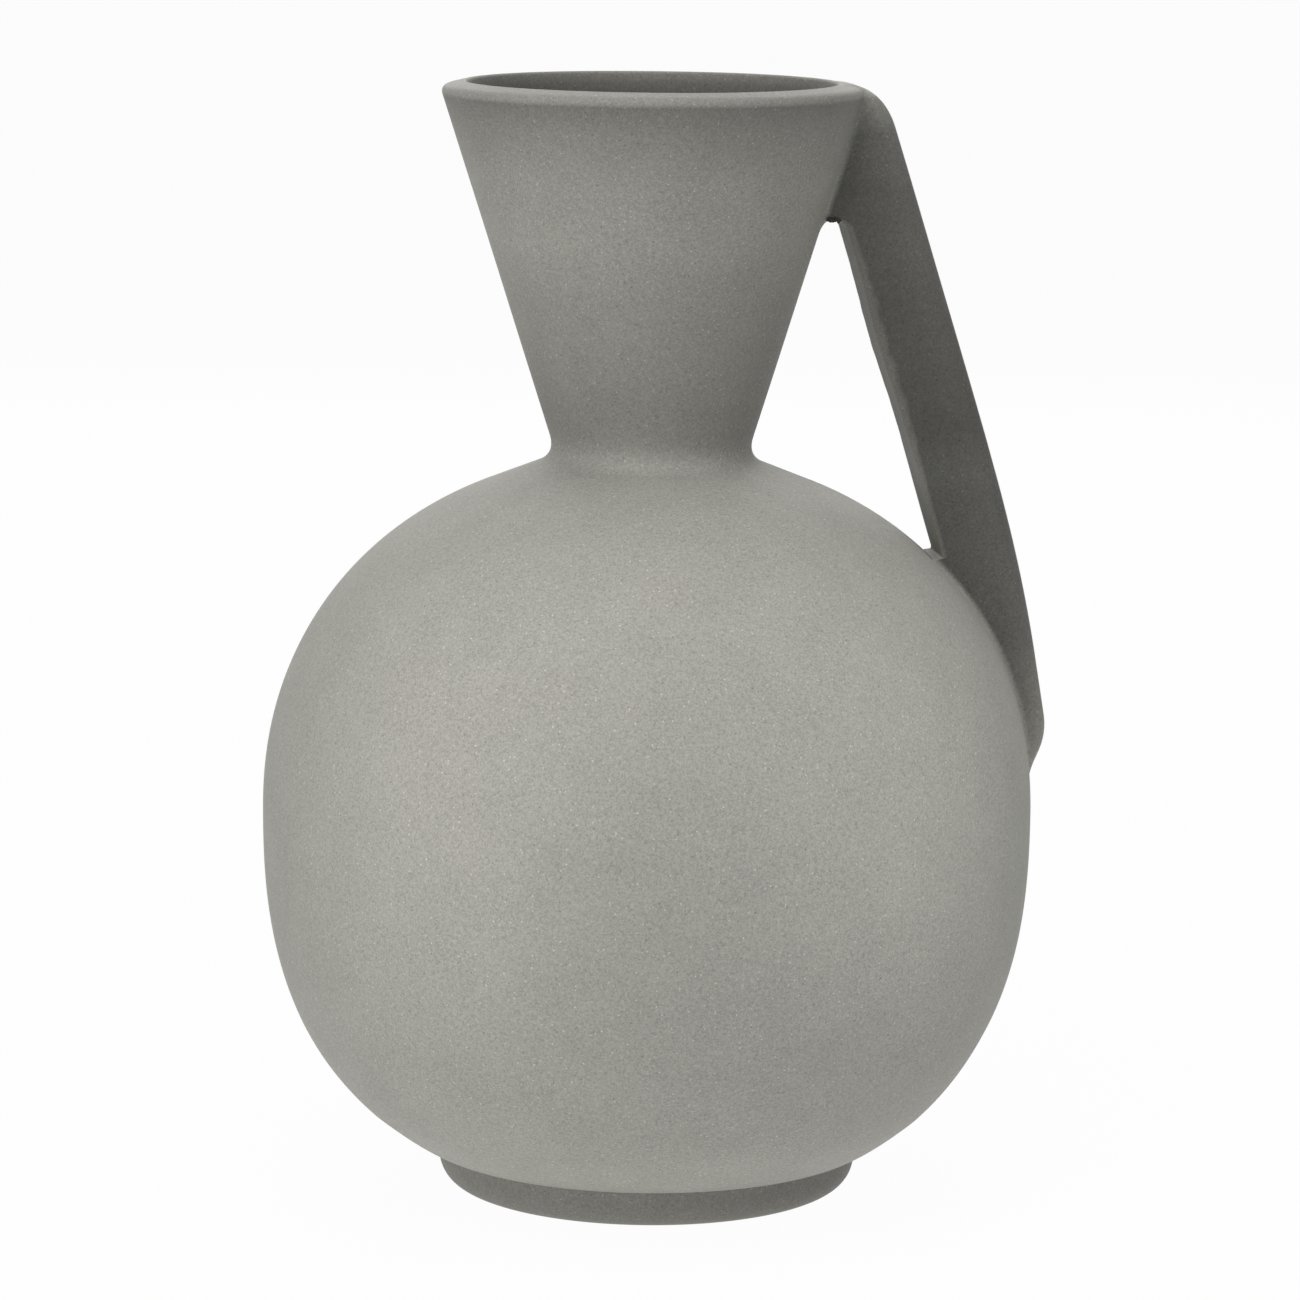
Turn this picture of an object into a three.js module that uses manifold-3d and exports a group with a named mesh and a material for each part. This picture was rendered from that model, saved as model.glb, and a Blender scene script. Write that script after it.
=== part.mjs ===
// Jug vase in stoneware: a slightly squared globe on a foot ring, a straight funnel neck on a
// coved collar, and a square bar handle that runs from the rim down to the flank of the globe.
// Millimetres, +Z up. The origin is on the axis, in the plane that the foot stands on, and the
// handle lies on the +X side.
import * as THREE from "three";
import { mergeVertices } from "three/addons/utils/BufferGeometryUtils.js";
import Module from "manifold-3d";

const wasm = await Module();
wasm.setup();

// Globe: two bowls joined rim to rim at the widest plane, each a superellipse of revolution
const globeRadius = 100;
const bellyDepth = 100.5; // from the widest plane to where the lower curve would close
const bellySquareness = 2.45; // power of the curve: 2 is an ellipse, more is squarer
const shoulderRise = 92.8; // from the widest plane to where the upper curve would close
const shoulderSquareness = 2.15;
const globeWall = 6;
const floorThickness = 7;

// Foot ring, under the flat that the globe is trimmed to
const footRadius = 55; // outside, at the joint
const footHeight = 10.5;
const footRingWidth = 17;
const footInset = 2.2; // from the edge of the flat
const footTaper = 1.4; // how far the outside draws in towards the ground
const footEdgeRound = 7.5; // rounded lower edge, up the outside
const footEdgeReach = 9; // the same, along the ground

// Collar and funnel neck
const waistRadius = 26.35; // outside, where the funnel stands on the collar
const collarHeight = 7.7; // the collar's seat above the globe's own curve
const coveReach = 17.3; // how far the straight run below the cove reaches out over the globe
const neckHeight = 91.1;
const mouthRadius = 54.85; // outside, at the rim's sharp corner
const neckWall = 8.5; // measured level
const lipRound = 5; // outer edge of the lip
const lipInnerRound = 2;

// Bar handle
const handleWidth = 20; // along the rim
const handleThickness = 19.7; // square to the bar's length
const handleEdgeRound = 2.5;
const handleOverhang = 4.05; // outer corner beyond the mouth
const handleTopDrop = 0.5; // top of the bar below the lip's crest
const handleTopRound = 11;
const archDrop = 34.4; // top of the finger gap below the rim
const archRound = 2.5;
const kneeInset = 2.5; // where the bar turns down the flank, inside the widest radius
const kneeRise = 62.4; // above the widest plane
const kneeBlend = 28;
const toeStandOut = 4.3; // lower end of the bar, outside the widest radius
const toeRise = 20.1;
const toeRound = 5;
const toeSlant = 27; // degrees, end face of the bar from upright
const lutingSeam = 0.3; // slip between the handle and the walls that it is pressed on

// Fineness of the curves
const roundSegments = 64;
const globeSteps = 12;
const curveSteps = 5;
const bevelSteps = 3;

// One axis of a superellipse at a distance along the other axis
function superellipse(reach, otherReach, power, distance) {
  return reach * (1 - (distance / otherReach) ** power) ** (1 / power);
}

// Quarter of a superellipse, from its widest point in to endRadius, as radius and height
function quarter(radius, height, power, endRadius) {
  const lastAngle = Math.acos((endRadius / radius) ** (power / 2));
  return Array.from({ length: globeSteps + 1 }, (_, step) => {
    const angle = (lastAngle * step) / globeSteps;
    return new THREE.Vector2(
      radius * Math.cos(angle) ** (2 / power),
      height * Math.sin(angle) ** (2 / power),
    );
  });
}

// Point where the line from start along direction meets the line from other along otherDirection
function crossing(start, direction, other, otherDirection) {
  const along = other.clone().sub(start).cross(otherDirection) / direction.cross(otherDirection);
  return start.clone().addScaledVector(direction, along);
}

// Heights and radii that follow from the driving sizes
const trimRadius = footRadius + footInset;
const widestHeight = footHeight + superellipse(bellyDepth, globeRadius, bellySquareness, trimRadius);
const domeAtWaist = superellipse(shoulderRise, globeRadius, shoulderSquareness, waistRadius);
const collarTop = widestHeight + domeAtWaist + collarHeight;
const rimHeight = collarTop + neckHeight;
const boreRadius = waistRadius - neckWall;
const neckSlope = (mouthRadius - waistRadius) / neckHeight;
const innerRadius = globeRadius - globeWall;

// Outside radius of the funnel at a height
function funnelRadius(height) {
  return waistRadius + neckSlope * (height - collarTop);
}

// Solid of revolution about Z from a profile of radius and height
function revolve(profile) {
  return new THREE.LatheGeometry(profile, roundSegments).rotateX(Math.PI / 2);
}

// Outside of the globe's upper half from the widest plane to the collar's seat, with a clearance.
// The globe's curve runs on straight into a cove that is tangent to the funnel above.
function shoulderOutside(clearance) {
  const radius = globeRadius + clearance;
  const rise = shoulderRise + clearance;
  const globe = quarter(radius, rise, shoulderSquareness, waistRadius + clearance + coveReach);
  globe.forEach((point) => {
    point.y += widestHeight;
  });
  const edge = globe.at(-1);
  const steepness = (edge.x / radius / ((edge.y - widestHeight) / rise)) ** (shoulderSquareness - 1);
  const globeTangent = new THREE.Vector2(-1, (steepness * rise) / radius);
  const seat = new THREE.Vector2(waistRadius + clearance, collarTop);
  const corner = crossing(edge, globeTangent, seat, new THREE.Vector2(neckSlope, 1));
  const coveLength = Math.min(seat.distanceTo(corner), edge.distanceTo(corner));
  const coveStart = edge.clone().sub(corner).setLength(coveLength).add(corner);
  const cove = new THREE.QuadraticBezierCurve(coveStart, corner, seat).getPoints(curveSteps);
  return [...globe, ...cove];
}

// Outside of the funnel from the collar's seat to the lip's crest, with a clearance
function neckOutside(clearance) {
  const lipStart = rimHeight - lipRound;
  const outline = new THREE.Path();
  outline.moveTo(waistRadius + clearance, collarTop);
  outline.lineTo(funnelRadius(lipStart) + clearance, lipStart);
  outline.quadraticCurveTo(
    mouthRadius + clearance,
    rimHeight,
    mouthRadius - lipRound + clearance,
    rimHeight,
  );
  return outline.getPoints(curveSteps);
}

// Foot ring: tapered outside with a rounded lower edge, open under the middle
function footRing() {
  const innerEdge = footRadius - footRingWidth;
  const groundRadius = footRadius - footTaper;
  const edgeTop = groundRadius + (footTaper * footEdgeRound) / footHeight;
  const outline = new THREE.Path();
  outline.moveTo(innerEdge, 0);
  outline.lineTo(groundRadius - footEdgeReach, 0);
  outline.quadraticCurveTo(groundRadius, 0, edgeTop, footEdgeRound);
  outline.lineTo(footRadius, footHeight);
  outline.lineTo(innerEdge, footHeight);
  outline.lineTo(innerEdge, 0);
  return revolve(outline.getPoints(curveSteps));
}

// Lower half of the globe, trimmed flat for the foot ring, with a level floor inside
function lowerBowl() {
  const floorHeight = footHeight + floorThickness;
  const innerDepth = bellyDepth - globeWall;
  const floorRadius = superellipse(innerRadius, innerDepth, bellySquareness, widestHeight - floorHeight);
  const below = (point) => new THREE.Vector2(point.x, widestHeight - point.y);
  const outside = quarter(globeRadius, bellyDepth, bellySquareness, trimRadius).map(below).reverse();
  const inside = quarter(innerRadius, innerDepth, bellySquareness, floorRadius).map(below);
  return revolve([
    new THREE.Vector2(0, footHeight),
    ...outside,
    ...inside,
    new THREE.Vector2(0, floorHeight),
  ]);
}

// Upper half of the globe, drawn in to the collar that the funnel stands on
function shoulderDome() {
  const outside = shoulderOutside(0);
  const inside = quarter(innerRadius, shoulderRise - globeWall, shoulderSquareness, boreRadius);
  inside.forEach((point) => {
    point.y += widestHeight;
  });
  return revolve([...outside, new THREE.Vector2(boreRadius, collarTop), ...inside.reverse(), outside[0]]);
}

// Funnel with a lip that is flat on top and rounded at both edges
function neckFunnel() {
  const innerMouth = mouthRadius - neckWall;
  const innerLipEnd = rimHeight - lipInnerRound;
  const inside = new THREE.Path();
  inside.moveTo(innerMouth + lipInnerRound, rimHeight);
  inside.quadraticCurveTo(innerMouth, rimHeight, funnelRadius(innerLipEnd) - neckWall, innerLipEnd);
  inside.lineTo(boreRadius, collarTop);
  const outside = neckOutside(0);
  return revolve([...outside, ...inside.getPoints(curveSteps), outside[0]]);
}

// Closed outline whose corners are [point, round], each rounded by a curve that starts and
// ends that far from the corner
function roundedOutline(corners) {
  const outline = new THREE.Shape();
  corners.forEach(([point, round], index) => {
    const [before] = corners.at(index - 1);
    const [after] = corners[(index + 1) % corners.length];
    const towards = (target) => target.clone().sub(point).setLength(round).add(point);
    const start = towards(before);
    const end = towards(after);
    if (index === 0) {
      outline.moveTo(start.x, start.y);
    } else {
      outline.lineTo(start.x, start.y);
    }
    if (round > 0) {
      outline.quadraticCurveTo(point.x, point.y, end.x, end.y);
    }
  });
  return outline;
}

// Bar seen from the side, as radius and height. It passes on into the neck and the globe, where
// the cut along their walls ends it.
function handleOutline() {
  const level = new THREE.Vector2(1, 0);
  const top = new THREE.Vector2(mouthRadius + handleOverhang, rimHeight - handleTopDrop);
  const knee = new THREE.Vector2(globeRadius - kneeInset, widestHeight + kneeRise);
  const toe = new THREE.Vector2(globeRadius + toeStandOut, widestHeight + toeRise);
  const bar = knee.clone().sub(top).normalize();
  const innerTop = new THREE.Vector2(bar.y, -bar.x).multiplyScalar(handleThickness).add(top);
  const slant = THREE.MathUtils.degToRad(toeSlant);
  const endFace = new THREE.Vector2(-Math.sin(slant), -Math.cos(slant));
  const heel = crossing(innerTop, bar, toe, endFace);
  const archInNeck = new THREE.Vector2(boreRadius, rimHeight - archDrop);
  const arch = crossing(innerTop, bar, archInNeck, level);
  const topInNeck = new THREE.Vector2(boreRadius, top.y);
  const kneeLength = Math.min(kneeBlend, knee.distanceTo(toe) - toeRound);
  return roundedOutline([
    [topInNeck, 0],
    [archInNeck, 0],
    [arch, archRound],
    [heel, 0],
    [toe, toeRound],
    [knee, kneeLength],
    [top, handleTopRound],
  ]);
}

// Closed solid of a geometry, with its shared corners merged
function toSolid(geometry) {
  geometry.deleteAttribute("normal");
  geometry.deleteAttribute("uv");
  const merged = mergeVertices(geometry);
  return new wasm.Manifold(
    new wasm.Mesh({
      numProp: 3,
      vertProperties: merged.attributes.position.array,
      triVerts: Uint32Array.from(merged.index.array),
    }),
  );
}

// Geometry of a solid
function toGeometry(solid) {
  const { vertProperties, triVerts } = solid.getMesh();
  const geometry = new THREE.BufferGeometry();
  geometry.setAttribute("position", new THREE.BufferAttribute(vertProperties, 3));
  geometry.setIndex(new THREE.BufferAttribute(triVerts, 1));
  return geometry;
}

// Bar with rounded edges, cut to sit on the globe, the cove and the funnel
function handle() {
  const bar = new THREE.ExtrudeGeometry(handleOutline(), {
    depth: handleWidth - 2 * handleEdgeRound,
    curveSegments: curveSteps,
    bevelThickness: handleEdgeRound,
    bevelSize: handleEdgeRound,
    bevelOffset: -handleEdgeRound,
    bevelSegments: bevelSteps,
  });
  bar.translate(0, 0, handleEdgeRound - handleWidth / 2);
  bar.rotateX(Math.PI / 2);
  const walls = revolve([
    new THREE.Vector2(0, 0),
    new THREE.Vector2(globeRadius + lutingSeam, 0),
    ...shoulderOutside(lutingSeam),
    ...neckOutside(lutingSeam).slice(1),
    new THREE.Vector2(0, rimHeight),
  ]);
  const seated = toGeometry(toSolid(bar).subtract(toSolid(walls)));
  seated.computeVertexNormals();
  return seated;
}

// Named piece in unglazed, sandy grey stoneware
function piece(name, geometry) {
  const stoneware = new THREE.MeshStandardMaterial({ color: 0x9d9c94, roughness: 0.9, metalness: 0 });
  const mesh = new THREE.Mesh(geometry, stoneware);
  mesh.name = name;
  return mesh;
}

const vase = new THREE.Group();
vase.add(piece("foot_ring", footRing()));
vase.add(piece("lower_bowl", lowerBowl()));
vase.add(piece("shoulder_dome", shoulderDome()));
vase.add(piece("neck_funnel", neckFunnel()));
vase.add(piece("handle", handle()));

export default vase;
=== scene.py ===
import math

import bpy
import numpy as np
from mathutils import Matrix, Vector


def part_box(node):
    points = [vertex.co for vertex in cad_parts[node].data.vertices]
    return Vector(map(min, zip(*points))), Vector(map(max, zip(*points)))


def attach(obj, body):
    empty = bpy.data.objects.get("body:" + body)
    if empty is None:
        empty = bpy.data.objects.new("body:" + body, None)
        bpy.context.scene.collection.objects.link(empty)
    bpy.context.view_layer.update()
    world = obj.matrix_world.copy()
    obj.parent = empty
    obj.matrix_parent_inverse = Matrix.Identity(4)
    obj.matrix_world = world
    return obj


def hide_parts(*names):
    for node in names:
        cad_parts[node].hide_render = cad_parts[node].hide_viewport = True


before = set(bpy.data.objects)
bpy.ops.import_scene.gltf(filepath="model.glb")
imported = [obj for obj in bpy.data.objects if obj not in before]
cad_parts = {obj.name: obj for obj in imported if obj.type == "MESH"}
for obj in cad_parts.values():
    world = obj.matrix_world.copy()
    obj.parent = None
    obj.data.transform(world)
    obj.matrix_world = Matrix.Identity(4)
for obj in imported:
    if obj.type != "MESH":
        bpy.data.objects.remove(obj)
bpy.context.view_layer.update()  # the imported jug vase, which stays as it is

mm = 0.001  # shapes below are in millimetres and go into the meshes in metres

# Places that the solids give
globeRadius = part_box("lower_bowl")[1].y / mm
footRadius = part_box("foot_ring")[1].y / mm
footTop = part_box("foot_ring")[1].z / mm
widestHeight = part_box("lower_bowl")[1].z / mm
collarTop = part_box("shoulder_dome")[1].z / mm
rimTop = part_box("neck_funnel")[1].z / mm
handleWidth = 2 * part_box("handle")[1].y / mm
turnSteps = 320  # points around every turned piece, so that joints meet point to point
cornerAngle = 38  # degrees: an edge that turns more than this stays sharp
print("frame: globe", round(2 * globeRadius, 1), "mm across, rim at", round(rimTop, 1), "mm")


# Straight run of points from start to end
def straight(start, end, count):
    t = np.linspace(0, 1, count)[:, None]
    return (1 - t) * np.array(start) + t * np.array(end)


# Round corner: leaves start towards corner and comes into end from corner
def bend(start, corner, end, count):
    t = np.linspace(0, 1, count)[:, None]
    return (1 - t) ** 2 * np.array(start) + 2 * t * (1 - t) * np.array(corner) + t**2 * np.array(end)


# Quarter of the curve (r / radius)^power + (h / height)^power = 1, from its widest point in to
# endRadius, with the rows closer together near both ends
def quarter(radius, height, power, endRadius, count):
    last = math.acos((endRadius / radius) ** (power / 2))
    angle = last * (0.5 - 0.5 * np.cos(np.linspace(0, np.pi, count)))
    return np.stack([radius * np.cos(angle) ** (2 / power), height * np.sin(angle) ** (2 / power)], axis=1)


# Runs joined end to end, each starting where the one before it ends
def chain(*runs):
    return np.concatenate([runs[0]] + [run[1:] for run in runs[1:]])


# Point where two lines cross, each given by a point and a direction
def crossing(point, direction, other, otherDirection):
    gap = np.array(other) - np.array(point)
    turn = direction[0] * otherDirection[1] - direction[1] * otherDirection[0]
    along = (gap[0] * otherDirection[1] - gap[1] * otherDirection[0]) / turn
    return np.array(point) + along * np.array(direction)


handwork = {
    "sway": 0.12,  # deepest low spot of the walls
    "rimWave": 0.15,  # deepest low spot of the rim
    "rimTilt": 0.1,  # how much lower the rim is opposite the handle
    "rimFade": 26,  # how far down the neck the rim's wave fades out
    "footShift": 0.9,  # the foot sits off the axis towards the handle
    "footFade": 45,  # height at which the globe is on the axis
    "waistShift": 0.25,  # the collar sits off the axis towards the handle
    "waistFade": 30,  # how far down the shoulder that starts
    "rimShift": -0.45,  # the mouth leans away from the handle
    "waves": (1, 2, 3, 4, 5),  # times round the vase
    "swayFall": 0.5,  # power by which the wall's quicker waves are weaker
    "rimFall": 0.7,  # the same for the rim
    "climb": 0.02,  # how much the wall's waves turn as they climb, per millimetre
    "levelling": 0.6,  # how soon the waves level out at their limits
    "seed": 11,
}


# Unevenness left by hand, the same for every piece so that joints stay shut: slow waves round and
# up the wall pull it in by at most sway, and slow waves round the rim lower it by at most rimWave.
# The foot, the collar and the mouth lie a little off the axis.
def handmade(points):
    draws = np.random.default_rng(handwork["seed"])
    x, y, z = points[..., 0], points[..., 1], points[..., 2]
    angle = np.arctan2(y, x)
    reach = np.hypot(x, y)
    sway = np.zeros_like(x)
    rim = np.zeros_like(x)
    level = handwork["levelling"]
    for turns in handwork["waves"]:
        phase, rimPhase, twist = draws.uniform(0, 2 * np.pi, 3)
        lean = phase + handwork["climb"] * twist * z
        sway += np.cos(turns * angle + lean) / turns ** handwork["swayFall"]
        rim += np.cos(turns * angle + rimPhase) / turns ** handwork["rimFall"]
    inward = handwork["sway"] * (0.5 - 0.5 * np.tanh(level * sway)) * np.clip(reach / footRadius, 0, 1)
    share = np.clip(1 + (z - rimTop) / handwork["rimFade"], 0, 1)
    tilt = handwork["rimTilt"] * (0.5 - 0.5 * np.cos(angle))
    drop = (tilt + handwork["rimWave"] * (0.5 - 0.5 * np.tanh(level * rim))) * share**2
    scale = 1 - inward / np.maximum(reach, 1)
    low = np.clip(1 - z / handwork["footFade"], 0, 1)
    places = [collarTop - handwork["waistFade"], collarTop, rimTop]
    shift = np.interp(z, places, [0, handwork["waistShift"], handwork["rimShift"]])
    shift = shift + handwork["footShift"] * low * low * (3 - 2 * low)
    return np.stack([x * scale + shift, y * scale, z - drop], axis=-1)


# Four-sided faces of a grid, closed round its columns and, if asked, round its rows
def gridFaces(rows, columns, closedRows):
    row = np.arange(rows if closedRows else rows - 1)[:, None]
    column = np.arange(columns)[None, :]
    nextRow = (row + 1) % rows
    nextColumn = (column + 1) % columns
    corners = [row * columns + column, row * columns + nextColumn,
               nextRow * columns + nextColumn, nextRow * columns + column]
    return np.stack(corners, axis=-1).reshape(-1, 4).tolist()


# Faces of a tube whose rows are rings of points, closed at both ends. Its points start at firstPoint.
def tubeFaces(rows, columns, firstPoint):
    ends = np.arange(columns) + firstPoint
    sides = (np.array(gridFaces(rows, columns, False)) + firstPoint).tolist()
    return sides + [ends[::-1].tolist(), (ends + (rows - 1) * columns).tolist()]


# Mesh object of a piece in place of its solid, smooth except along true corners. Its painted light and
# shade, one number for each point that scales the clay's colour, goes with it.
def addPiece(name, points, faces, paintedShading, material):
    mesh = bpy.data.meshes.new(name)
    mesh.from_pydata((handmade(points) * mm).tolist(), [], faces)
    mesh.attributes.new("paintedShading", "FLOAT", "POINT").data.foreach_set("value", paintedShading.astype(np.float32))
    mesh.shade_smooth()
    mesh.set_sharp_from_angle(angle=math.radians(cornerAngle))
    mesh.materials.append(material)
    piece = bpy.data.objects.new(name + "_skin", mesh)
    bpy.context.scene.collection.objects.link(piece)
    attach(piece, "root")
    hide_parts(name)
    print(name, len(mesh.vertices), "points")


# Turned piece: the profile (r, z) goes round the axis as x = r cos a, y = r sin a. The profile runs
# anticlockwise, and is either a closed loop or starts and ends on the axis.
def turned(name, profile, profilePaintedShading, material):
    onAxis = profile[0][0] == 0
    kept = slice(1, -1) if onAxis else slice(0, -1)
    rows = profile[kept]
    paintedShading = np.repeat(profilePaintedShading[kept], turnSteps)
    angle = np.arange(turnSteps) * 2 * np.pi / turnSteps
    ring = np.stack([np.cos(angle), np.sin(angle), np.ones(turnSteps)], axis=1)
    points = (rows[:, None, [0, 0, 1]] * ring[None]).reshape(-1, 3)
    faces = gridFaces(len(rows), turnSteps, not onAxis)
    if onAxis:
        first = np.arange(turnSteps)
        last = first + (len(rows) - 1) * turnSteps
        poles = len(points) + np.array([[0], [1]]) + np.zeros(turnSteps, int)
        fans = [np.stack([poles[0], np.roll(first, -1), first], axis=1),
                np.stack([poles[1], last, np.roll(last, -1)], axis=1)]
        faces += np.concatenate(fans).tolist()
        points = np.concatenate([points, [[0, 0, profile[0][1]], [0, 0, profile[-1][1]]]])
        paintedShading = np.concatenate([paintedShading, profilePaintedShading[[0, -1]]])
    addPiece(name, points, faces, paintedShading, material)


# One socket of a shader, with Python's operators: each expression on values adds its Math node
class Value:
    def __init__(self, shader, socket):
        self.shader = shader
        self.socket = socket

    def maths(self, operation, first, second):
        return self.shader.node("ShaderNodeMath", {"operation": operation}, {0: first, 1: second})

    def __add__(self, other):
        return self.maths("ADD", self, other)

    def __radd__(self, other):
        return self.maths("ADD", other, self)

    def __sub__(self, other):
        return self.maths("SUBTRACT", self, other)

    def __rsub__(self, other):
        return self.maths("SUBTRACT", other, self)

    def __mul__(self, other):
        return self.maths("MULTIPLY", self, other)

    def __rmul__(self, other):
        return self.maths("MULTIPLY", other, self)

    def larger(self, other):
        return self.maths("MAXIMUM", self, other)


# A material's or the world's node tree
class Shader:
    def __init__(self, owner):
        owner.use_nodes = True
        self.tree = owner.node_tree
        self.tree.nodes.clear()

    # Adds a node: its type, its settings, then the values or links of its sockets
    def node(self, kind, settings=None, sockets=None, output=0):
        made = self.tree.nodes.new(kind)
        for key, value in (settings or {}).items():
            setattr(made, key, value)
        for key, value in (sockets or {}).items():
            if isinstance(value, Value):
                self.tree.links.new(value.socket, made.inputs[key])
            else:
                made.inputs[key].default_value = value
        return Value(self, made.outputs[output]) if len(made.outputs) else None

    # Blend of two colours by a factor
    def mix(self, factor, first, second):
        return self.node("ShaderNodeMix", {"data_type": "RGBA"}, {0: factor, 6: first, 7: second}, output=2)

    # Smooth step of a value from low to high
    def step(self, value, low, high):
        return self.node("ShaderNodeMapRange", {"interpolation_type": "SMOOTHSTEP"},
                         {0: value, 1: low, 2: high})

    # Colour times a value
    def scaled(self, colour, value):
        return self.node("ShaderNodeVectorMath", {"operation": "SCALE"}, {0: colour, "Scale": value})

    # One for rays that show the plain background: seen directly, mirrored or through glass
    def backgroundRay(self):
        rays = [self.node("ShaderNodeLightPath", output=f"Is {kind} Ray")
                for kind in ("Camera", "Glossy", "Transmission")]
        return rays[0].larger(rays[1]).larger(rays[2])

    # Cloudy noise, so many features per metre, with finer layers on top
    def noise(self, place, scale, layers):
        return self.node("ShaderNodeTexNoise", {}, {"Vector": place, "Scale": scale, "Detail": layers})

    # Scattered round specks, one in each cell whose chance passes a step. Each fades out over its edge,
    # given as two distances from its middle.
    def specks(self, place, scale, chances, edge):
        cell = {"Vector": place, "Scale": scale}
        distance = self.node("ShaderNodeTexVoronoi", {}, cell, output="Distance")
        colour = self.node("ShaderNodeTexVoronoi", {}, cell, output="Color")
        chance = self.node("ShaderNodeSeparateColor", {}, {0: colour})
        return (1 - self.step(distance, *edge)) * self.step(chance, *chances)


noiseMean = 0.5  # middle value of a noise
clay = {
    "warm": (0.385, 0.3755, 0.3415, 1),
    "cool": (0.3755, 0.3725, 0.3375, 1),
    "patches": (26, 3),  # broad patches of warmer and cooler clay: how many per metre, layers of detail
    "patchEdge": (0.35, 0.65),  # noise over which the cool clay turns warm
    "clouds": (78, 4),  # smaller, lighter and darker clouds
    "cloudDepth": 0.16,
    "grain": (2100, 2),  # finest grain
    "grainDepth": 0.84,
    "sand": (950, 3),  # coarser sand
    "sandDepth": 0.40,
    "lightSpecks": 760,  # cells that may hold a light speck, per metre
    "lightChance": (0.7, 0.72),  # a cell holds one where its chance passes this step
    "darkSpecks": 630.8,  # the same for dark specks
    "darkChance": (0.85, 0.87),
    "speckEdge": (0.06, 0.22),  # a speck fades out between these distances from its middle, in cells
    "speckShare": 0.8,  # how much of a speck's own colour shows
    "light": (0.72, 0.71, 0.67, 1),
    "dark": (0.20, 0.197, 0.185, 1),
    "worn": (0.47, 0.425, 0.375, 1),  # bare clay along the edge that the vase stands on
    "wornHeight": 0.0022,  # metres
    "wornRagged": 0.004,  # how much the sand moves that height
    "wornShare": 0.7,
    "relief": (0.45, 0.55, 0.35),  # grain and sand in the surface's height, and pits at the dark specks
    "bump": 0.00022,
    "bumpStrength": 0.5,
    "roughness": 0.6,
    "sandRoughness": 0.2,
    "speckRoughness": 0.1,
    "gloss": 0.1,
    "footPaintedShade": 0.60,  # painted shade: the foot, under the globe's overhang, is darker than the globe
    "bodyPaintedShading": [(14, 1.08), (30, 1.0), (188, 1.0), (200, 0.66), (206, 0.64), (219, 0.72), (234, 0.785),
                  (250, 0.89), (265, 0.845), (278, 0.675), (285.1, 0.515), (286.0, 0.77)],  # height, and painted light and shade: lighter low on the globe, darker over the whole neck, most at its waist and under the lip
    "mouthPaintedShade": 0.64,  # painted shade inside the neck
    "handlePaintedShade": [(112, 0.84), (126, 0.6), (146, 0.37), (182, 0.27), (206, 0.38), (227, 0.345),
                    (262, 0.345), (276, 0.5), (285, 1.0)],  # height, and painted shade on the bar, over the body's own
    "crumbPaintedShadow": 0.16,  # painted shadow: the crumbs under the arch are near black
    "joint": 1.6,  # the bar's painted shade starts this far from the walls
    "outerPaintedLight": 0.35,  # painted light: how much lighter the bar is along its outer face
    "innerPaintedLight": 1.5,  # painted light: the same on its inner face
}


# Unglazed sandy stoneware: two clays in broad patches, fine grain over coarser sand, and scattered
# light and dark specks. The same grain and sand raise the surface. The piece's painted light and shade, one
# number per point, darkens or lightens it.
def stonewareMaterial():
    material = bpy.data.materials.new("stoneware")
    shader = Shader(material)
    place = shader.node("ShaderNodeTexCoord", output="Object")
    height = shader.node("ShaderNodeSeparateXYZ", {}, {0: place}, output="Z")
    paintedShading = shader.node("ShaderNodeAttribute", {"attribute_name": "paintedShading"}, output="Fac")
    patches = shader.noise(place, *clay["patches"])
    clouds = shader.noise(place, *clay["clouds"])
    grain = shader.noise(place, *clay["grain"])
    sand = shader.noise(place, *clay["sand"])

    body = shader.mix(shader.step(patches, *clay["patchEdge"]), clay["cool"], clay["warm"])
    shade = 1 + (clouds - noiseMean) * clay["cloudDepth"]
    shade = shade + (grain - noiseMean) * clay["grainDepth"] + (sand - noiseMean) * clay["sandDepth"]
    body = shader.scaled(body, shade)
    lightSpeck = shader.specks(place, clay["lightSpecks"], clay["lightChance"], clay["speckEdge"])
    darkSpeck = shader.specks(place, clay["darkSpecks"], clay["darkChance"], clay["speckEdge"])
    body = shader.mix(lightSpeck * clay["speckShare"], body, clay["light"])
    body = shader.mix(darkSpeck * clay["speckShare"], body, clay["dark"])
    # worn bare clay along the lower edge of the foot
    wearAndPaintedShade = 1 - shader.step(height + (sand - noiseMean) * clay["wornRagged"], 0, clay["wornHeight"])
    body = shader.mix(wearAndPaintedShade * clay["wornShare"], body, clay["worn"])
    # painted light and shade: the colour times each point's painted shading
    body = shader.scaled(body, paintedShading)

    grainRelief, sandRelief, pits = clay["relief"]
    bump = shader.node("ShaderNodeBump", {}, {
        "Strength": clay["bumpStrength"],
        "Distance": clay["bump"],
        "Height": grain * grainRelief + sand * sandRelief - darkSpeck * pits,
    })
    roughness = clay["roughness"] + (sand - noiseMean) * clay["sandRoughness"]
    roughness = roughness - lightSpeck * clay["speckRoughness"]
    surface = shader.node("ShaderNodeBsdfPrincipled", {}, {
        "Base Color": body,
        "Roughness": roughness,
        "Specular IOR Level": clay["gloss"],
        "Normal": bump,
    })
    shader.node("ShaderNodeOutputMaterial", {}, {"Surface": surface})
    return material


# Painted shading at given heights, from a list of heights and values
def paintedShadingAt(height, tones):
    return np.interp(height, *np.transpose(tones))


# Painted light and shade of the body along a profile, by height
def paintedShadingAlong(profile):
    return paintedShadingAt(profile[:, 1], clay["bodyPaintedShading"])


stoneware = stonewareMaterial()
print("stoneware mixed")


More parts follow.
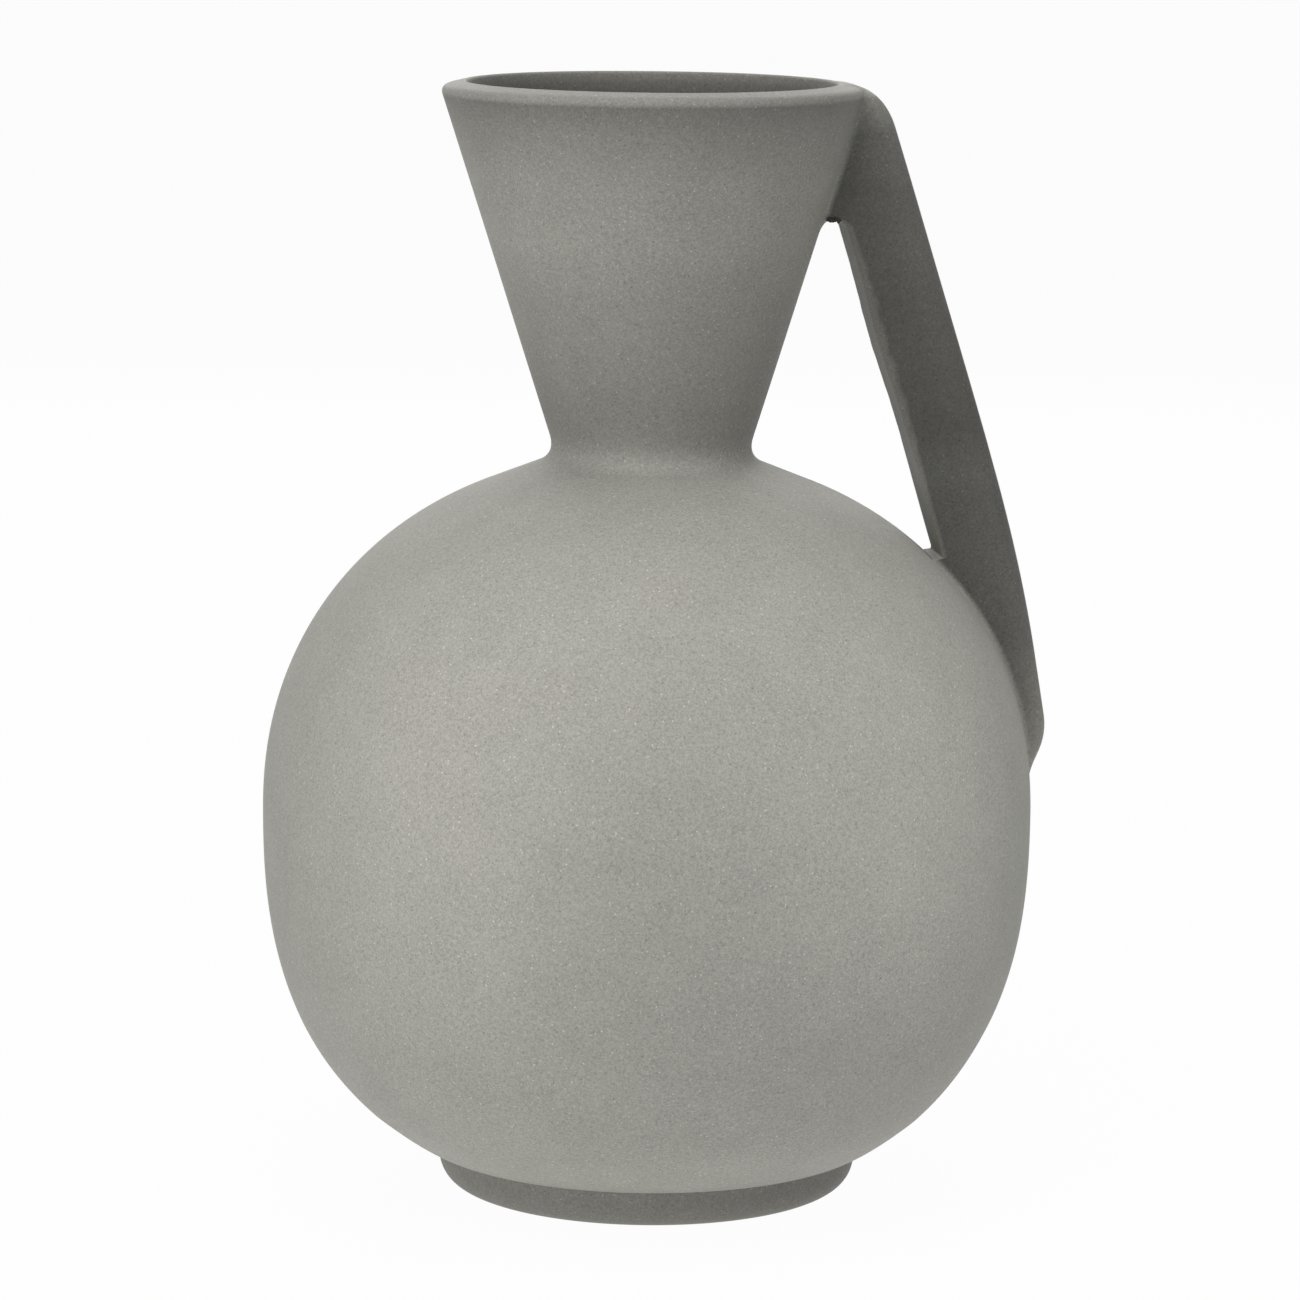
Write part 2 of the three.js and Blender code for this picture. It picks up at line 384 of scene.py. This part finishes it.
foot = {
    "ringWidth": 17.0,
    "inset": 2.2,  # the joint, in from the edge of the flat that the globe is trimmed to
    "taper": 1.4,  # how far the outside draws in towards the ground
    "edgeRise": 7.5,  # rounded lower edge, up the outside
    "edgeReach": 8.8,  # the same, along the ground
    "innerRound": 1.5,  # lower inner edge
}


# Foot ring: level underside, rounded lower edges, tapered outside up to the globe
def footProfile():
    inner = footRadius - foot["ringWidth"]
    ground = footRadius - foot["taper"]
    edgeTop = (ground + foot["taper"] * foot["edgeRise"] / footTop, foot["edgeRise"])
    innerRound = foot["innerRound"]
    return chain(
        bend((inner, innerRound), (inner, 0), (inner + innerRound, 0), 6),
        straight((inner + innerRound, 0), (ground - foot["edgeReach"], 0), 6),
        bend((ground - foot["edgeReach"], 0), (ground, 0), edgeTop, 28),
        straight(edgeTop, (footRadius, footTop), 6),
        straight((footRadius, footTop), (inner, footTop), 3),
        straight((inner, footTop), (inner, innerRound), 4),
    )


# foot ring, with painted shade under the globe
turned("foot_ring", footProfile(), clay["footPaintedShade"] * paintedShadingAlong(footProfile()), stoneware)


globe = {
    "bellyPower": 2.45,  # 2 is an ellipse, more is squarer
    "shoulderPower": 2.15,
    "shoulderRise": 92.8,  # widest plane to where the shoulder's curve would close
    "wall": 6.0,
    "floor": 7.0,
    "trimRound": 16.0,  # rounding of the lower edge up the outside
    "trimTuck": 1.5,  # how far that edge is drawn in
    "trimFlat": 0.8,  # the flat ends this far inside the foot ring
}
trimRadius = footRadius + foot["inset"]
bellyShare = (1 - (trimRadius / globeRadius) ** globe["bellyPower"]) ** (1 / globe["bellyPower"])
bellyDepth = (widestHeight - footTop) / bellyShare  # so that the belly ends on the trimmed flat


# Lower half of the globe: from the flat round its edge and up the outside to the widest plane, across
# the joint, then down the inside to a level floor
def bowlProfile():
    flip = np.array([1, -1])
    base = np.array([0, widestHeight])
    floorTop = footTop + globe["floor"]
    innerRadius = globeRadius - globe["wall"]
    innerDepth = bellyDepth - globe["wall"]
    power = globe["bellyPower"]
    floorRadius = innerRadius * (1 - ((widestHeight - floorTop) / innerDepth) ** power) ** (1 / power)
    roundTop = trimRadius + globe["trimRound"]
    outside = quarter(globeRadius, bellyDepth, power, roundTop, 90)[::-1] * flip + base
    inside = quarter(innerRadius, innerDepth, power, floorRadius, 40) * flip + base
    trimmed = (footRadius - globe["trimFlat"], footTop)
    edge = crossing(outside[0], outside[1] - outside[0], trimmed, (1, 0)) - np.array([globe["trimTuck"], 0])
    return chain(
        straight((0, footTop), trimmed, 8),
        bend(trimmed, edge, outside[0], 20),
        outside,
        straight(outside[-1], inside[0], 3),
        inside,
        straight(inside[-1], (0, floorTop), 8),
    )


# lower globe, with painted light towards its bottom
turned("lower_bowl", bowlProfile(), paintedShadingAlong(bowlProfile()), stoneware)


neck = {
    "waist": 26.35,  # outside, where the funnel stands on the collar
    "coveReach": 17.3,  # how far the straight run below the cove reaches out over the globe
    "wall": 8.5,  # level, at the collar
    "mouth": 54.85,  # outside, in the rim's plane
    "lipWidth": 7.1,  # level, in the rim's plane
    "lipFall": 1.4,  # how far the lip's bevel falls from its crest to its outer edge
    "lipOuterRound": 2.4,
    "lipInnerRound": 1.0,  # at the crest
    "crestLift": 0.22,  # how far the crest's corner stands above the rim, before it is rounded
    "mouthFade": (0.3, 1.3),  # below the rim, where painted shade inside the mouth starts and where it is full
}
neckSlope = (neck["mouth"] - neck["waist"]) / (rimTop - collarTop)
crest = np.array([neck["mouth"] - neck["lipWidth"], rimTop + neck["crestLift"]])


# Outside radius of the funnel at a height
def funnelRadius(height):
    return neck["waist"] + neckSlope * (height - collarTop)


# Outside of the shoulder from the widest plane to the collar: the globe's curve, which runs on straight
# into a cove that is tangent to the funnel above
def shoulderOutside():
    power = globe["shoulderPower"]
    rise = globe["shoulderRise"]
    curve = quarter(globeRadius, rise, power, neck["waist"] + neck["coveReach"], 90)
    edge = curve[-1]
    steepness = (edge[0] / globeRadius / (edge[1] / rise)) ** (power - 1) * rise / globeRadius
    curve = curve + np.array([0, widestHeight])
    seat = (neck["waist"], collarTop)
    corner = crossing(curve[-1], (-1, steepness), seat, (neckSlope, 1))
    run = curve[-1] - corner
    coveStart = corner + run * np.linalg.norm(seat - corner) / np.linalg.norm(run)
    return chain(curve, straight(curve[-1], coveStart, 12), bend(coveStart, corner, seat, 24))


# Upper half of the globe with its collar: up the outside, across the joint, down the inside
def domeProfile():
    bore = neck["waist"] - neck["wall"]
    innerRise = globe["shoulderRise"] - globe["wall"]
    inside = quarter(globeRadius - globe["wall"], innerRise, globe["shoulderPower"], bore, 50)[::-1]
    inside = inside + np.array([0, widestHeight])
    outside = shoulderOutside()
    return chain(
        outside,
        straight(outside[-1], (bore, collarTop), 3),
        straight((bore, collarTop), inside[0], 6),
        inside,
        straight(inside[-1], outside[0], 3),
    )


turned("shoulder_dome", domeProfile(), paintedShadingAlong(domeProfile()), stoneware)


# Outside of the funnel: straight from the collar, round the lip's outer edge and up its bevel
def funnelOutside():
    edge = np.array([funnelRadius(rimTop - neck["lipFall"]), rimTop - neck["lipFall"]])
    up = np.array([neckSlope, 1]) / math.hypot(neckSlope, 1)
    bevel = (crest - edge) / np.linalg.norm(crest - edge)
    wallEnd = edge - neck["lipOuterRound"] * up
    bevelStart = edge + neck["lipOuterRound"] * bevel
    return chain(
        straight((neck["waist"], collarTop), wallEnd, 60),
        bend(wallEnd, edge, bevelStart, 12),
        straight(bevelStart, crest - neck["lipInnerRound"] * bevel, 8),
    )


# Funnel neck: up the outside, over the crest, down the inside to the bore. Painted shade darkens its
# inside.
def funnelProfile():
    outside = funnelOutside()
    bore = np.array([neck["waist"] - neck["wall"], collarTop])
    innerEdge = crest + neck["lipInnerRound"] * (bore - crest) / np.linalg.norm(bore - crest)
    profile = chain(
        outside,
        bend(outside[-1], crest, innerEdge, 10),
        straight(innerEdge, bore, 40),
        straight(bore, outside[0], 3),
    )
    depth = np.where(np.arange(len(profile)) < len(outside), 0, rimTop - profile[:, 1])
    return profile, paintedShadingAlong(profile) * np.interp(depth, neck["mouthFade"], [1, clay["mouthPaintedShade"]])


turned("neck_funnel", *funnelProfile(), stoneware)


bar = {
    "start": (0.8, 0.04),  # where the bar's top leaves the lip: out from its crest, and below the rim
    "topCorner": (58.87, 0.4),  # where the top would meet the bar's outer line: radius, below the rim
    "topRound": 11.6,  # length of the top's rounding down the outer line
    "knee": (97.5, 62.4),  # radius, and rise above the widest plane
    "kneeBlend": 28.0,
    "toe": (104.3, 20.1),  # radius, and rise above the widest plane
    "toeRound": 5.0,
    "toeSlant": 27.0,  # degrees, end face from upright
    "toeFillet": 3.0,  # slip where the end face runs into the globe
    "toeTuck": 0.6,  # depth of the slip's end inside the globe
    "endReach": 20.0,  # length that surely takes the end face to the globe
    "gapReach": 120.0,  # the same for the inner line, from the arch
    "thickness": 19.7,
    "archDrop": 35.0,  # top of the finger gap below the rim
    "archRound": 3.0,
    "archSlip": (4.3, 2.2),  # slip in the corner under the arch: down the neck, along the bar
    "crumbs": [  # clay left along the arch's front edge: radius from the axis, rise above the edge, size
        (44.3, 0.5, 0.6),
        (45.1, 0.3, 0.75),
        (46.0, 0.45, 0.7),
        (46.8, 0.1, 0.6),
    ],
    "crumbLobes": 3,  # waves round a crumb, and half waves along it
    "crumbWaves": (0.25, 0.2),  # their heights as shares of its size
    "crumbCap": 0.2,  # radians, from a crumb's ends to the first points
    "burr": (0.7, 67.0, 14.0),  # swell of the cut inner face: height, place below the rim, half length
    "scrapeStretch": 2.0,  # the scraping is this much longer than the burr
    "scrapeWaves": [(0.2, 0.7, 0.0), (0.15, 1.27, 1.0)],  # small waves in it: share, turn per mm, phase
    "slipInset": 0.2,  # the slip under the arch ends this far inside the bar's sides
    "slipPower": 6,  # how late it thins out towards them
    "slipLeft": 0.001,  # squared share of it that is left there
    "webLength": 3.4,  # slip that closes the narrow lower corner of the finger gap
    "webRound": 1.5,
    "lipCore": (0.6, 6.0),  # inner line's start, inside the lip: out from the bar's start, and below it
    "pressStart": 12.0,  # the pressed-on face starts this far below the rim
    "pressEnd": 0.5,  # and ends this far above the bar's lower end
    "sunk": 1.2,  # depth of the pressed-on face inside the walls
    "outerEdge": 5.0,
    "outerLimit": 0.55,  # widest outer edge as a share of the bar's depth
    "innerEdge": 1.2,
    "innerLimit": 0.25,
    "scrape": 1.5,  # how much wider the inner edges are scraped along the burr
    "crown": 0.25,  # swell of the side faces
    "crowding": 2.2,  # power that brings the sides' points closer together near the walls
    "neckFillet": 2.6,  # slip smoothed into the corner along the neck, at the lip
    "globeFillet": 1.3,  # the same along the globe
}
walls = chain(shoulderOutside(), funnelOutside())  # outside of the vase above its widest plane
topCorner = np.array([bar["topCorner"][0], rimTop - bar["topCorner"][1]])
archTop = rimTop - bar["archDrop"]


# Radius of the walls at a height
def wallRadius(height):
    return np.interp(height, walls[:, 1], walls[:, 0])


# Points along a line at even distances
def evenly(line, count):
    length = np.concatenate([[0], np.cumsum(np.linalg.norm(np.diff(line, axis=0), axis=1))])
    places = np.linspace(0, length[-1], count)
    return np.stack([np.interp(places, length, line[:, 0]), np.interp(places, length, line[:, 1])], axis=1)


# Place on a line nearest to a point, as an index
def nearest(line, point):
    return int(np.argmin(np.linalg.norm(line - np.array(point), axis=1)))


# The walls' outline moved inwards, between two heights, from the first to the second
def pressedFace(fromHeight, toHeight):
    tangent = np.gradient(walls, axis=0)
    inward = np.stack([-tangent[:, 1], tangent[:, 0]], axis=1)
    moved = walls + bar["sunk"] * inward / np.linalg.norm(inward, axis=1, keepdims=True)
    height = np.linspace(fromHeight, toHeight, 80)
    return np.stack([np.interp(height, moved[:, 1], moved[:, 0]), height], axis=1)


# Outer line of the bar: from the lip over the rounded top, down the bar, round the knee and the toe,
# along the slanted end face and through a fillet into the globe
def outerLine():
    start = np.array([crest[0] + bar["start"][0], rimTop - bar["start"][1]])
    knee = np.array([bar["knee"][0], widestHeight + bar["knee"][1]])
    toe = np.array([bar["toe"][0], widestHeight + bar["toe"][1]])
    down = (knee - topCorner) / np.linalg.norm(knee - topCorner)
    flank = (toe - knee) / np.linalg.norm(toe - knee)
    slant = math.radians(bar["toeSlant"])
    endFace = np.array([-math.sin(slant), -math.cos(slant)])
    toeEnd = toe + bar["toeRound"] * endFace
    endRun = straight(toeEnd, toeEnd + bar["endReach"] * endFace, 400)
    meets = endRun[np.argmax(endRun[:, 0] < wallRadius(endRun[:, 1]))]  # where it reaches the globe
    fillet = bar["toeFillet"]
    line = np.vstack([
        bend(start, topCorner, topCorner + bar["topRound"] * down, 60),
        bend(knee - bar["kneeBlend"] * down, knee, knee + bar["kneeBlend"] * flank, 60),
        bend(toe - bar["toeRound"] * flank, toe, toeEnd, 30),
        bend(meets - fillet * endFace, meets, meets - np.array([bar["toeTuck"], fillet]), 16),
        meets - np.array([2 * bar["sunk"], fillet]),
    ])
    return evenly(line, 2400), down


# Side view of the bar as two lines with as many stations each. The inner line runs inside the neck's
# wall, out under the arch, down the finger gap and on inside the globe's wall.
def handleLines():
    outer, down = outerLine()
    across = bar["thickness"] * np.array([-down[1], down[0]])  # from the inner line to the outer
    arch = crossing(topCorner - across, down, (0, archTop), (1, 0))
    archStart = arch - np.array([bar["archRound"], 0])
    archEnd = arch + bar["archRound"] * down
    gap = straight(arch, arch + bar["gapReach"] * down, 1200)
    seat = gap[np.argmax(gap[:, 0] < wallRadius(gap[:, 1]))]  # the inner line reaches the globe here
    webStart = seat - (bar["webLength"] + bar["webRound"]) * down
    web = seat - bar["webLength"] * down
    swell, place, length = bar["burr"]
    inside = straight(archEnd, webStart, 200)
    bump = swell * np.exp(-(((inside[:, 1:] - rimTop + place) / length) ** 2))
    inside = inside - bump * across / bar["thickness"]

    neckFace = pressedFace(rimTop - bar["pressStart"], archTop)
    globeFace = pressedFace(web[1], outer[-1, 1] + bar["pressEnd"])
    split = 45  # point of both faces at which one run ends and the next starts
    lipCore = outer[0] + np.array([bar["lipCore"][0], -bar["lipCore"][1]])
    marks = [0] + [nearest(outer, place) for place in (
        topCorner + bar["topRound"] * down, archEnd + across, webStart + across, globeFace[split] + across)]
    marks.append(len(outer) - 1)
    innerRuns = [
        (np.vstack([lipCore, neckFace[:split]]), 38),
        (np.vstack([neckFace[split - 1:], bend(archStart, arch, archEnd, 20)]), 60),
        (inside, 70),
        (np.vstack([bend(webStart, web, globeFace[0], 20), globeFace[1:split + 1]]), 70),
        (globeFace[split:], 70),
    ]
    counts = [count for run, count in innerRuns]
    outerRuns = [outer[first:last + 1] for first, last in zip(marks[:-1], marks[1:])]
    outerStations = chain(*(evenly(run, count) for run, count in zip(outerRuns, counts)))
    innerStations = chain(*(evenly(run, count) for run, count in innerRuns))
    return outerStations, innerStations


# Distance of points (r, z) outside the walls' outline, and below zero inside it
def wallDistance(radius, height):
    start = walls[:-1]
    step = np.diff(walls, axis=0)
    offset = np.stack([radius, height], axis=-1)[..., None, :] - start
    share = np.clip((offset * step).sum(-1) / (step**2).sum(-1), 0, 1)
    distance = np.linalg.norm(offset - share[..., None] * step, axis=-1).min(-1)
    return np.where(radius < wallRadius(height), -distance, distance)


# Slip in the corner between the neck and the arch: a hollow curve, tangent to both, carried across the
# bar and thinned out at its sides. The rest of its outline is sunk in the neck and the bar.
def archSlip(firstPoint):
    drop, reach = bar["archSlip"]
    corner = np.array([funnelRadius(archTop), archTop])
    downNeck = drop * np.array([-neckSlope, -1])
    across = np.linspace(1, -1, 41)
    y = across * (handleWidth / 2 - bar["slipInset"])
    share = np.sqrt(1 - across ** bar["slipPower"] + bar["slipLeft"])[:, None, None]
    curve = bend(corner + downNeck, corner, corner + np.array([reach, 0]), 14)
    hidden = np.array([[reach, bar["sunk"]], [-bar["sunk"], bar["sunk"]], [-bar["sunk"], -drop]]) + corner
    hidden[2] += np.array([-neckSlope * drop, 0])
    section = corner + share * (np.vstack([curve, hidden]) - corner)
    depth = np.broadcast_to(y[:, None], section.shape[:2])
    x = np.sqrt(section[..., 0] ** 2 - depth**2)
    points = np.stack([x, depth, section[..., 1]], axis=-1).reshape(-1, 3)
    rows, columns = depth.shape
    return points, tubeFaces(rows, columns, firstPoint)


# Crumbs under the arch: balls whose radius swings in waves round them and along them
def crumbs(firstPoint):
    rows, columns = 10, 14
    cap = bar["crumbCap"]
    tilt = np.linspace(np.pi - cap, cap, rows)[:, None]  # from the lower end of the ball to the upper
    turn = np.arange(columns) * 2 * np.pi / columns
    ball = [np.sin(tilt) * np.cos(turn), np.sin(tilt) * np.sin(turn), np.cos(tilt) + 0 * turn]
    lobes = bar["crumbLobes"]
    roundWave, longWave = bar["crumbWaves"]
    points, faces = [], []
    for number, (x, rise, size) in enumerate(bar["crumbs"]):
        waves = roundWave * np.cos(lobes * turn + 2 * number) * np.sin(tilt)
        waves = waves + longWave * np.cos(lobes * tilt + number)
        middle = np.array([x, -handleWidth / 2, archTop + rise])
        shape = middle + np.stack(ball, axis=-1) * size * (1 + waves[..., None])
        points.append(shape.reshape(-1, 3))
        faces += tubeFaces(rows, columns, firstPoint + number * rows * columns)
    return np.concatenate(points), faces


# Share of the scraping along the bar's inner edges: one long swell at the burr, with small waves in it
def scrapeShare(height):
    place, length = bar["burr"][1:]
    along = (rimTop - height - place) / (bar["scrapeStretch"] * length)
    waves = sum(share * np.cos(rate * height + phase) for share, rate, phase in bar["scrapeWaves"])
    return np.exp(-(along**2)) * (1 + waves)


# Handle: at each station a rectangle with rounded corners stands between the two lines. Its half,
# from the middle of the outer face to the middle of the inner face, is mirrored. Within a fillet's
# radius f of the walls the sides spread along a quarter circle: f - sqrt(f^2 - (f - distance)^2).
def handle():
    outer, inner = handleLines()
    reach = inner - outer
    depth = np.linalg.norm(reach, axis=1)[:, None]
    half = handleWidth / 2
    outerEdge = np.minimum(bar["outerEdge"], bar["outerLimit"] * depth)
    innerEdge = bar["innerEdge"] + bar["scrape"] * scrapeShare(inner[:, 1:])
    innerEdge = np.minimum(innerEdge, bar["innerLimit"] * depth)
    flat = np.linspace(0, 1, 6)[:-1]
    quarterTurn = np.linspace(0, np.pi / 2, 10)
    side = 1 - (1 - np.linspace(0, 1, 40)[1:-1]) ** bar["crowding"]
    smallTurn = np.linspace(0, np.pi / 2, 8)
    inwards = np.concatenate([
        0 * depth * flat,
        outerEdge * (1 - np.cos(quarterTurn)),
        outerEdge + (depth - outerEdge - innerEdge) * side,
        depth - innerEdge * (1 - np.sin(smallTurn)),
        depth + 0 * depth * flat,
    ], axis=1)
    sideways = np.concatenate([
        (half - outerEdge) * flat,
        half - outerEdge * (1 - np.sin(quarterTurn)),
        half + 0 * depth * side,
        half - innerEdge * (1 - np.cos(smallTurn)),
        (half - innerEdge) * (1 - flat - flat[1]),
    ], axis=1)
    middle = bar["thickness"] / 2
    sideways = sideways * (1 + bar["crown"] / half * np.clip(1 - (inwards / middle - 1) ** 2, 0, 1))
    inwards = np.concatenate([inwards, inwards[:, -2:0:-1]], axis=1)
    sideways = np.concatenate([sideways, -sideways[:, -2:0:-1]], axis=1)
    x = outer[:, :1] + reach[:, :1] / depth * inwards
    z = outer[:, 1:] + reach[:, 1:] / depth * inwards
    radius = np.hypot(x, sideways)
    fillet = np.interp(z, [archTop, rimTop], [bar["globeFillet"], bar["neckFillet"]])
    distance = wallDistance(radius, z)
    near = np.clip(1 - distance / fillet, 0, 1)
    y = sideways * (1 + fillet * (1 - np.sqrt(1 - near**2)) / half)
    points = np.stack([np.sqrt(radius**2 - y**2), y, z], axis=-1)
    faces = tubeFaces(*z.shape, 0)
    slip, slipFaces = archSlip(z.size)
    loose, looseFaces = crumbs(z.size + len(slip))
    # Painted shade on the bar, fading in from the walls, on top of the body's painted shading
    away = np.clip(distance.reshape(-1) / clay["joint"], 0, 1)
    # painted light along the bar's rounded outer face and its cut inner face
    paintedLight = clay["outerPaintedLight"] * (1 - inwards / depth) ** 2
    paintedLight = paintedLight + clay["innerPaintedLight"] * np.clip(1 - (depth - inwards) / innerEdge, 0, 1)
    wearAndPaintedShade = paintedShadingAt(z, clay["handlePaintedShade"]) * (1 + paintedLight)
    paintedShading = 1 - (1 - wearAndPaintedShade.reshape(-1)) * away
    paintedShading = paintedShadingAt(z.reshape(-1), clay["bodyPaintedShading"]) * paintedShading
    points = np.concatenate([points.reshape(-1, 3), slip, loose])
    # the slip keeps the body's colour, and the crumbs carry painted shadow
    paintedShading = np.concatenate([paintedShading, np.ones(len(slip)), np.full(len(loose), clay["crumbPaintedShadow"])])
    addPiece("handle", points, faces + slipFaces + looseFaces, paintedShading, stoneware)


handle()


studio = {
    "floorSize": 30.0,  # metres
    "floorShade": 0.80,
    "floorGlow": 0.62,  # share of plain white in the light that the floor sends up to the vase
    "floorSeen": 0.97,  # the same in what is seen of it
    "ambient": 0.02,
    "lampAim": 0.14,  # height of the vase's middle
    "lamps": [  # azimuth from the front towards the right, elevation, distance, width, power
        (-60, 12, 1.8, 1.0, 5.1),
        (-38, 50, 1.8, 1.0, 7.5),
        (0, 78, 1.8, 1.3, 14.2),
        (60, 60, 1.8, 1.0, 3.6),
        (-30, 5, 1.5, 0.8, 2.7),
        (174, 30, 1.8, 1.4, 12),
    ],
    "spots": [  # soft spots that light the globe alone: azimuth, metres aside, power
        (-46, 0.012, 6.2),
        (46, -0.018, 10.2),
    ],
    "spotCone": 12.2,  # degrees, upright
    "spotNarrow": 0.67,  # how wide the beam is for its height
    "spotRadius": 0.03,
    "spotDistance": 1.0,  # level
    "spotHeight": 0.16,
    "spotAim": 0.125,
}


# Plain white floor, partly lit from below. The camera sees it almost white, and its own shading keeps
# the vase's shadow.
def layFloor():
    half = studio["floorSize"] / 2
    mesh = bpy.data.meshes.new("floor")
    corners = [(-half, -half, 0), (half, -half, 0), (half, half, 0), (-half, half, 0)]
    mesh.from_pydata(corners, [], [(0, 1, 2, 3)])
    material = bpy.data.materials.new("floor_white")
    shader = Shader(material)
    glow = shader.backgroundRay() * (studio["floorSeen"] - studio["floorGlow"]) + studio["floorGlow"]
    shade = studio["floorShade"]
    paint = shader.node("ShaderNodeBsdfDiffuse", {}, {"Color": (shade, shade, shade, 1)})
    white = shader.node("ShaderNodeEmission", {}, {"Color": (1, 1, 1, 1), "Strength": 1})
    seen = shader.node("ShaderNodeMixShader", {}, {0: glow, 1: paint, 2: white})
    shader.node("ShaderNodeOutputMaterial", {}, {"Surface": seen})
    mesh.materials.append(material)
    floor = bpy.data.objects.new("floor", mesh)
    bpy.context.scene.collection.objects.link(floor)


# White room: the camera sees plain white, the vase gets the ambient light
def setWorld():
    world = bpy.data.worlds.new("room")
    bpy.context.scene.world = world
    shader = Shader(world)
    strength = shader.backgroundRay() * (1 - studio["ambient"]) + studio["ambient"]
    room = shader.node("ShaderNodeBackground", {}, {"Color": (1, 1, 1, 1), "Strength": strength})
    shader.node("ShaderNodeOutputWorld", {}, {"Surface": room})


# Level directions at an azimuth from the front: away from the vase, and to the right
def facing(azimuth):
    a = math.radians(azimuth)
    return Vector((math.sin(a), -math.cos(a), 0)), Vector((math.cos(a), math.sin(a), 0))


# Puts a light away from its target, turned to it and unseen
def hang(light, target, away):
    lamp = bpy.data.objects.new(light.name, light)
    lamp.location = target + away
    lamp.rotation_euler = away.to_track_quat("Z", "Y").to_euler()
    lamp.visible_camera = False
    bpy.context.scene.collection.objects.link(lamp)
    return lamp


# Square soft lamps round the vase's middle, and upright soft spots on the globe
def hangLamps():
    up = Vector((0, 0, 1))
    for number, (azimuth, elevation, distance, size, power) in enumerate(studio["lamps"]):
        e = math.radians(elevation)
        light = bpy.data.lights.new(f"lamp_{number}", "AREA")
        light.size = size
        light.energy = power
        away = distance * (math.cos(e) * facing(azimuth)[0] + math.sin(e) * up)
        hang(light, studio["lampAim"] * up, away)
    for number, (azimuth, aside, power) in enumerate(studio["spots"]):
        front, right = facing(azimuth)
        light = bpy.data.lights.new(f"spot_{number}", "SPOT")
        light.spot_size = math.radians(studio["spotCone"])
        light.spot_blend = 1.0
        light.shadow_soft_size = studio["spotRadius"]
        light.energy = power
        away = studio["spotDistance"] * front + (studio["spotHeight"] - studio["spotAim"]) * up
        lamp = hang(light, aside * right + studio["spotAim"] * up, away)
        lamp.scale = (studio["spotNarrow"], 1, 1)


layFloor()
setWorld()
hangLamps()
print("studio ready")


view = {
    "distance": 1.44,  # level, from the axis
    "height": 0.3713,
    "azimuth": -6.5,  # degrees from the front, so that the handle turns a little away
    "aimHeight": 0.14143,
    "aimRight": 0.00042,
    "roll": 0.607,  # degrees
    "lens": 155.4,  # mm
    "sensor": 36,  # mm
}


# Camera on a tripod in front of the vase
def setCamera():
    away, right = facing(view["azimuth"])
    data = bpy.data.cameras.new("camera")
    data.lens = view["lens"]
    data.sensor_width = view["sensor"]
    camera = bpy.data.objects.new("camera", data)
    camera.location = view["distance"] * away + Vector((0, 0, view["height"]))
    aim = view["aimRight"] * right + Vector((0, 0, view["aimHeight"]))
    turn = (camera.location - aim).to_track_quat("Z", "Y").to_matrix().to_4x4()
    turn = turn @ Matrix.Rotation(math.radians(view["roll"]), 4, "Z")
    camera.rotation_euler = turn.to_euler()
    bpy.context.scene.collection.objects.link(camera)
    bpy.context.scene.camera = camera


setCamera()
bpy.context.scene.view_settings.view_transform = "Standard"
